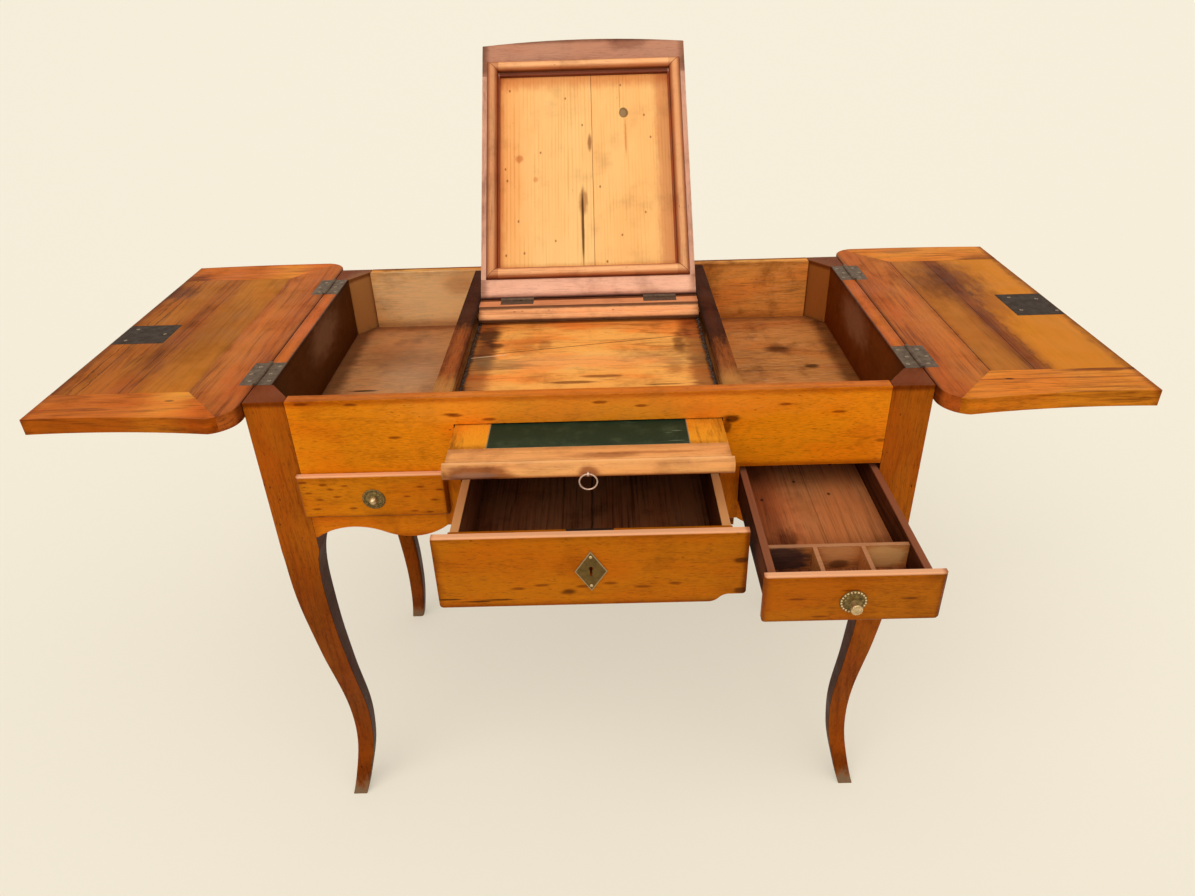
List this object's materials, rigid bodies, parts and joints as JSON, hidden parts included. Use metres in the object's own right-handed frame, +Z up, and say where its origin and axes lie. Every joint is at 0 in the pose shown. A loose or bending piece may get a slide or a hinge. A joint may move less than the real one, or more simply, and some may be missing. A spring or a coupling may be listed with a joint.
{
  "type": "dressing table",
  "caption": "Small wooden dressing table with fold-out side leaves, a raised mirror flap, a leather writing slide and drawers over curved legs.",
  "frame": {"origin": "on the floor under the middle of the case", "axes": "+X to the right as seen from the front and along the longest side, -Y towards the sitter, +Z up, out of the floor"},
  "size_m": [1.317, 0.8697, 1.044],
  "materials": {
    "fruitwood_case": "waxed golden fruitwood, satin",
    "fruitwood_leg": "waxed fruitwood darkened by handling",
    "walnut_leaf": "waxed reddish walnut, satin",
    "oak_inside": "bare aged secondary wood, matt",
    "drawer_wood": "bare dark drawer lining, matt",
    "pink_walnut": "pinkish brown fruitwood, satin",
    "pine": "bare pale pine, matt",
    "moulding_wood": "turned and waxed moulding, satin",
    "green_leather": "dark green hide, worn",
    "aged_brass": "cast brass, tarnished",
    "dark_iron": "wrought iron, dark patina",
    "pale_iron": "worn bright iron ring"
  },
  "bodies": {
    "case": {"leg_front_left": "fruitwood_leg", "leg_front_right": "fruitwood_leg", "leg_back_left": "fruitwood_leg", "leg_back_right": "fruitwood_leg", "front_board": "fruitwood_case", "back_board": "fruitwood_case", "side_board_left": "fruitwood_case", "side_board_right": "fruitwood_case", "partition_left": "oak_inside", "partition_right": "oak_inside", "drawer_muntins": "fruitwood_case", "aprons": "fruitwood_case", "well_floors": "oak_inside", "centre_board": "fruitwood_case", "rear_top_strip": "fruitwood_case", "drawer_runners": "oak_inside", "leaf_hinge_case_plates": "dark_iron", "leaf_hinge_pins": "dark_iron"},
    "left_leaf": {"left_leaf_stile": "walnut_leaf", "left_leaf_clamps": "walnut_leaf", "left_leaf_planks": "walnut_leaf", "left_leaf_lock_plate": "dark_iron", "left_leaf_hinge_plates": "dark_iron"},
    "right_leaf": {"right_leaf_stile": "walnut_leaf", "right_leaf_clamps": "walnut_leaf", "right_leaf_planks": "walnut_leaf", "right_leaf_lock_plate": "dark_iron", "right_leaf_hinge_plates": "dark_iron"},
    "carriage": {"carriage_batten": "moulding_wood", "batten_hinge_plates": "dark_iron", "flap_hinge_pins": "dark_iron"},
    "mirror_flap": {"flap_clamps": "pink_walnut", "flap_stiles": "pink_walnut", "flap_backboards": "pine", "flap_show_panel": "fruitwood_case", "mirror_moulding": "moulding_wood", "flap_hinge_plates": "dark_iron"},
    "writing_slide": {"writing_slide_front_rail": "fruitwood_case", "writing_slide_stiles": "fruitwood_case", "writing_slide_board": "oak_inside", "writing_slide_leather": "green_leather", "ring_staple": "pale_iron"},
    "pull_ring": {"pull_ring": "pale_iron"},
    "left_drawer": {"left_drawer_front": "fruitwood_case", "left_drawer_box": "drawer_wood", "left_drawer_bottom": "drawer_wood", "left_drawer_knob": "aged_brass"},
    "centre_drawer": {"centre_drawer_front": "fruitwood_case", "centre_drawer_box": "drawer_wood", "centre_drawer_bottom": "drawer_wood", "escutcheon": "aged_brass", "drawer_lock_case": "dark_iron"},
    "lock_bolt": {"drawer_lock_bolt": "dark_iron"},
    "right_drawer": {"right_drawer_front": "fruitwood_case", "right_drawer_box": "drawer_wood", "right_drawer_bottom": "drawer_wood", "right_drawer_dividers": "drawer_wood", "right_drawer_knob": "aged_brass"}
  },
  "joints": [
    {"name": "left_leaf_hinge", "type": "hinge", "parent": "case", "child": "left_leaf", "pos_m": [-0.4105, 0, 0.72015], "axis": [0, 1, 0], "range_deg": [0, 180]},
    {"name": "right_leaf_hinge", "type": "hinge", "parent": "case", "child": "right_leaf", "pos_m": [0.4105, 0, 0.72015], "axis": [0, -1, 0], "range_deg": [0, 180]},
    {"name": "carriage_slide", "type": "slide", "parent": "case", "child": "carriage", "axis": [0, 1, 0], "range_m": [0, 0.1055]},
    {"name": "mirror_flap_hinge", "type": "hinge", "parent": "carriage", "child": "mirror_flap", "pos_m": [0, 0.078, 0.72015], "axis": [1, 0, 0], "range_deg": [0, 133]},
    {"name": "writing_slide_travel", "type": "slide", "parent": "case", "child": "writing_slide", "axis": [0, 1, 0], "range_m": [-0.115, 0.085]},
    {"name": "pull_ring_swing", "type": "hinge", "parent": "writing_slide", "child": "pull_ring", "pos_m": [0, -0.3378, 0.6723], "axis": [1, 0, 0], "range_deg": [-95, 5]},
    {"name": "left_drawer_slide", "type": "slide", "parent": "case", "child": "left_drawer", "axis": [0, 1, 0], "range_m": [-0.3, 0]},
    {"name": "centre_drawer_slide", "type": "slide", "parent": "case", "child": "centre_drawer", "axis": [0, 1, 0], "range_m": [-0.175, 0.125]},
    {"name": "lock_bolt_throw", "type": "slide", "parent": "centre_drawer", "child": "lock_bolt", "axis": [0, 0, 1], "range_m": [0, 0.007]},
    {"name": "right_drawer_slide", "type": "slide", "parent": "case", "child": "right_drawer", "axis": [0, 1, 0], "range_m": [-0.088, 0.212]}
  ],
  "couplings": [
    {"joint": "carriage_slide", "follows": "mirror_flap_hinge", "m_per_rad": 0.04544}
  ]
}
